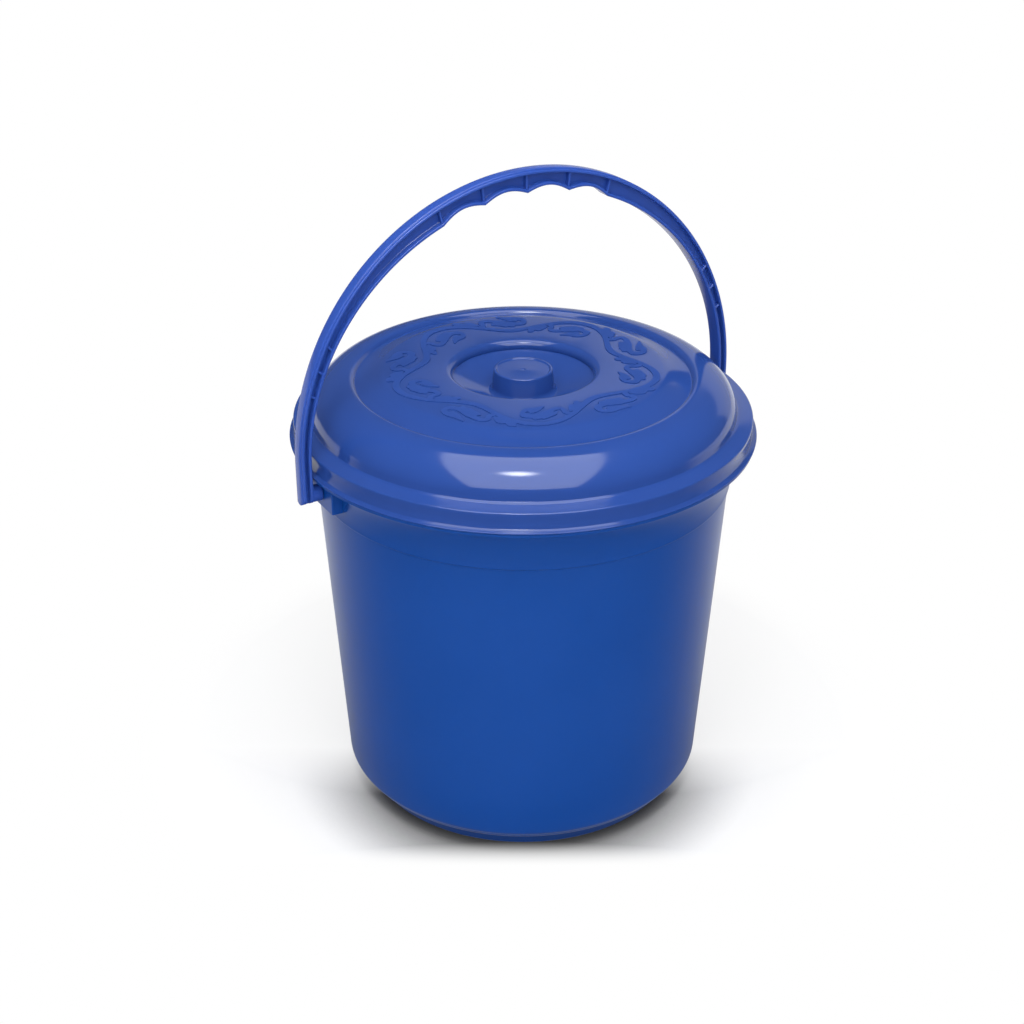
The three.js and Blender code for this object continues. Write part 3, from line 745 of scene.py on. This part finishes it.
class BUCKET_OT_handle(bpy.types.Operator):
    """Builds the handle with its finger scallops, ribs and studs"""

    bl_idname = "bucket.handle"
    bl_label = "Handle"

    def execute(self, context):
        settings = context.scene.bucket
        handle = object_from(handle_mesh(), "handle_fine")
        for side in (1, -1):
            pin = stud(side)
            mesh = bmesh.new()
            mesh.from_mesh(handle.data)
            mesh.from_mesh(pin.data)
            mesh.to_mesh(handle.data)
            mesh.free()
            bpy.data.objects.remove(pin)
        shade(handle, 38)
        # Satin polypropylene, a little softer than the lid
        handle.data.materials.clear()
        handle.data.materials.append(plastic(
            "injection-moulded polypropylene, soft gloss", settings.handle_colour, 0.22, 1.6, 0.0004))
        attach(handle, "handle")
        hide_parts("handle")
        return {"FINISHED"}


def glowing(name, strength, hot=None, hot_radius=1.0, hot_strength=0.0, left_strength=None):
    """An even white light, with a hot spot round a point, or a fall-off to the camera's left, if asked."""
    material = bpy.data.materials.new(name)
    material.use_nodes = True
    tree = material.node_tree
    tree.nodes.clear()
    light = add_node(tree, "ShaderNodeEmission", {"Color": (1, 1, 1, 1), "Strength": strength})
    if hot:
        place = add_node(tree, "ShaderNodeTexCoord").outputs["Object"]
        away = add_node(tree, "ShaderNodeVectorMath", {0: place, 1: hot}, operation="DISTANCE")
        spot = add_node(tree, "ShaderNodeMapRange", {
            "Value": away.outputs["Value"], "From Min": 0.0, "From Max": hot_radius,
            "To Min": hot_strength, "To Max": strength}, interpolation_type="SMOOTHERSTEP")
        tree.links.new(spot.outputs["Result"], light.inputs["Strength"])
    if left_strength is not None:
        place = add_node(tree, "ShaderNodeTexCoord").outputs["Object"]
        right = add_node(tree, "ShaderNodeVectorMath", {0: place, 1: in_camera_frame(1, 0, 0)},
                         operation="DOT_PRODUCT").outputs["Value"]
        ramp = add_node(tree, "ShaderNodeMapRange", {
            "Value": right, "From Min": BACKDROP_DIM_TO_BRIGHT[0], "From Max": BACKDROP_DIM_TO_BRIGHT[1],
            "To Min": left_strength, "To Max": strength})
        tree.links.new(ramp.outputs["Result"], light.inputs["Strength"])
    add_node(tree, "ShaderNodeOutputMaterial", {"Surface": light.outputs["Emission"]})
    return material


def glow(name, corners, material):
    """An emitting panel that the camera doesn't see, as four corners in metres."""
    data = bpy.data.meshes.new(name)
    data.from_pydata(corners, [], [(0, 1, 2, 3)])
    data.materials.append(material)
    panel = bpy.data.objects.new(name, data)
    bpy.context.collection.objects.link(panel)
    panel.visible_camera = False


def paper_sweep():
    """White paper, as the camera sees it and as the plastic mirrors it.

    The camera sees it lit round the pail, with a painted contact shadow on top, darkest where the pail
    stands closest and darker towards the front, white further off, and painted white over its shadow before
    and behind. The plastic mirrors it dim on the camera's side and bright beyond, with a painted bright ring
    round the foot that shows as a painted highlight on the pail's lower edge."""
    material = bpy.data.materials.new("white paper sweep")
    material.use_nodes = True
    tree = material.node_tree
    tree.nodes.clear()
    place = add_node(tree, "ShaderNodeTexCoord").outputs["Object"]
    path = add_node(tree, "ShaderNodeLightPath")
    beyond = add_node(tree, "ShaderNodeVectorMath", {0: place, 1: in_camera_frame(0, 1, 0)},
                      operation="DOT_PRODUCT").outputs["Value"]
    # Painted contact shadow: the paper's colour darkened where the pail closes it in, more towards the front
    # than behind, on top of its lit shading
    open_sky = add_node(tree, "ShaderNodeAmbientOcclusion", {
        "Distance": PAINTED_SHADOW_REACH}, samples=12).outputs["AO"]
    painted_shadow_power = add_node(tree, "ShaderNodeMapRange", {
        "Value": beyond, "From Min": -0.1, "From Max": 0.0, "To Min": 2.2, "To Max": 0.2})
    painted_shadow = add_node(tree, "ShaderNodeMath", {0: open_sky, 1: painted_shadow_power.outputs["Result"]}, operation="POWER")
    paper_with_painted_shadow = add_node(tree, "ShaderNodeMath", {
        0: painted_shadow.outputs["Value"], 1: PAPER_WHITE}, operation="MULTIPLY")
    paper = add_node(tree, "ShaderNodeBsdfDiffuse", {"Color": paper_with_painted_shadow.outputs["Value"]}).outputs["BSDF"]
    distance = add_node(tree, "ShaderNodeVectorMath", {0: place}, operation="LENGTH").outputs["Value"]
    off = add_node(tree, "ShaderNodeVectorMath", {0: place, 1: in_camera_frame(*SHADOW_MIDDLE)},
                   operation="DISTANCE").outputs["Value"]
    far = add_node(tree, "ShaderNodeMapRange", {
        "Value": off, "From Min": SHADOW_FADE[0], "From Max": SHADOW_FADE[1]},
        interpolation_type="SMOOTHSTEP")
    # Painted white, for the camera only, laid over the shadow in front of the foot and, for the most part,
    # behind it
    front = add_node(tree, "ShaderNodeMapRange", {
        "Value": beyond, "From Min": FRONT_FADE[0], "From Max": FRONT_FADE[1], "To Min": 1.0, "To Max": 0.0},
        interpolation_type="SMOOTHSTEP")
    back = add_node(tree, "ShaderNodeMapRange", {
        "Value": beyond, "From Min": BACK_FADE[0], "From Max": BACK_FADE[1],
        "To Min": 0.0, "To Max": BACK_FADE_SHARE})
    ends = add_node(tree, "ShaderNodeMath", {
        0: front.outputs["Result"], 1: back.outputs["Result"]}, operation="MAXIMUM")
    painted_white_share = add_node(tree, "ShaderNodeMath", {
        0: far.outputs["Result"], 1: ends.outputs["Value"]}, operation="MAXIMUM")
    seen = add_node(tree, "ShaderNodeMath", {
        0: painted_white_share.outputs["Value"], 1: path.outputs["Is Camera Ray"]}, operation="MULTIPLY")
    white = add_node(tree, "ShaderNodeEmission", {"Color": (1, 1, 1, 1), "Strength": 1.0})
    shown = add_node(tree, "ShaderNodeMixShader", {0: seen.outputs["Value"]})
    tree.links.new(paper, shown.inputs[1])
    tree.links.new(white.outputs["Emission"], shown.inputs[2])
    bright = add_node(tree, "ShaderNodeMapRange", {
        "Value": beyond, "From Min": -0.12, "From Max": 0.25, "To Min": 0.12, "To Max": 1.0})
    # Painted bright ring on the paper round the foot, seen only in the plastic: a painted highlight along
    # the pail's lower edge
    painted_glint_ring = add_node(tree, "ShaderNodeMapRange", {
        "Value": distance, "From Min": 0.118, "From Max": 0.14, "To Min": 0.4, "To Max": 0.0})
    most = add_node(tree, "ShaderNodeMath", {
        0: bright.outputs["Result"], 1: painted_glint_ring.outputs["Result"]}, operation="MAXIMUM")
    mirrored = add_node(tree, "ShaderNodeEmission", {"Strength": most.outputs["Value"]})
    both = add_node(tree, "ShaderNodeMixShader", {0: path.outputs["Is Glossy Ray"]})
    tree.links.new(shown.outputs["Shader"], both.inputs[1])
    tree.links.new(mirrored.outputs["Emission"], both.inputs[2])
    add_node(tree, "ShaderNodeOutputMaterial", {"Surface": both.outputs["Shader"]})
    material.cycles.emission_sampling = "NONE"
    return material


def in_camera_frame(x, y, z):
    """Row-frame point from one right of, beyond and above the bucket's foot as the camera sees it."""
    turn = math.radians(-CAMERA_HEADING)
    return (x * math.cos(turn) - y * math.sin(turn), x * math.sin(turn) + y * math.cos(turn), z)


class BUCKET_OT_stage(bpy.types.Operator):
    """Builds the floor, the softbox, the white surround and the camera"""

    bl_idname = "bucket.stage"
    bl_label = "Stage"

    def execute(self, context):
        settings = context.scene.bucket
        scene = context.scene
        bpy.ops.mesh.primitive_plane_add(size=FLOOR_SIZE, location=(0, 0, -FLOOR_DROP))
        floor = context.object
        floor.name = "floor"
        floor.data.materials.append(paper_sweep())
        glow("softbox", [in_camera_frame(*p) for p in SOFTBOX_CORNERS], glowing(
            "softbox", settings.softbox_strength, in_camera_frame(*LAMP_PLACE), LAMP_RADIUS,
            settings.lamp_strength))
        glow("backdrop", [in_camera_frame(*p) for p in BACKDROP_CORNERS], glowing(
            "backdrop", settings.backdrop_strength, left_strength=settings.backdrop_strength / 5))
        bpy.ops.mesh.primitive_uv_sphere_add(segments=24, ring_count=12, radius=FILL_RADIUS)
        fill = context.object
        fill.name = "fill"
        fill.data.materials.append(glowing("fill", settings.surround_strength))
        fill.visible_camera = False
        fill.visible_glossy = False
        world = bpy.data.worlds.new("white studio")
        scene.world = world
        world.use_nodes = True
        tree = world.node_tree
        tree.nodes.clear()
        path = add_node(tree, "ShaderNodeLightPath")
        strength = add_node(tree, "ShaderNodeMix", {
            "Factor": path.outputs["Is Camera Ray"], "A": settings.room_strength, "B": 1.0})
        light = add_node(tree, "ShaderNodeBackground", {
            "Color": (1, 1, 1, 1), "Strength": strength.outputs["Result"]})
        add_node(tree, "ShaderNodeOutputWorld", {"Surface": light.outputs["Background"]})
        data = bpy.data.cameras.new("camera")
        data.sensor_width = SENSOR_WIDTH
        data.lens = FOCAL_PIXELS / FRAME_PIXELS * SENSOR_WIDTH
        data.clip_start = 0.01
        camera = bpy.data.objects.new("camera", data)
        camera.location = [v * MM for v in in_camera_frame(*CAMERA_PLACE)]
        camera.rotation_euler = (math.radians(90 - CAMERA_PITCH), 0, math.radians(-CAMERA_HEADING))
        context.collection.objects.link(camera)
        scene.camera = camera
        scene.render.engine = "CYCLES"
        scene.cycles.samples = 96
        scene.render.resolution_x = FRAME_PIXELS
        scene.render.resolution_y = FRAME_PIXELS
        scene.view_settings.view_transform = "Standard"
        return {"FINISHED"}


class BUCKET_PT_panel(bpy.types.Panel):
    """Lists the pieces, the stage and their settings"""

    bl_label = "Bucket with lid"
    bl_idname = "BUCKET_PT_panel"
    bl_space_type = "VIEW_3D"
    bl_region_type = "UI"
    bl_category = "Bucket"

    def draw(self, context):
        for name in ("pail", "lid", "handle", "stage"):
            self.layout.operator("bucket." + name)
        for name in BucketSettings.__annotations__:
            self.layout.prop(context.scene.bucket, name)


CLASSES = (BucketSettings, BUCKET_OT_pail, BUCKET_OT_lid, BUCKET_OT_handle, BUCKET_OT_stage, BUCKET_PT_panel)


def register():
    for item in CLASSES:
        bpy.utils.register_class(item)
    bpy.types.Scene.bucket = bpy.props.PointerProperty(type=BucketSettings)


def unregister():
    del bpy.types.Scene.bucket
    for item in reversed(CLASSES):
        bpy.utils.unregister_class(item)


def main():
    register()
    bpy.ops.bucket.pail()
    bpy.ops.bucket.lid()
    bpy.ops.bucket.handle()
    bpy.ops.bucket.stage()


if __name__ == "__main__":
    main()
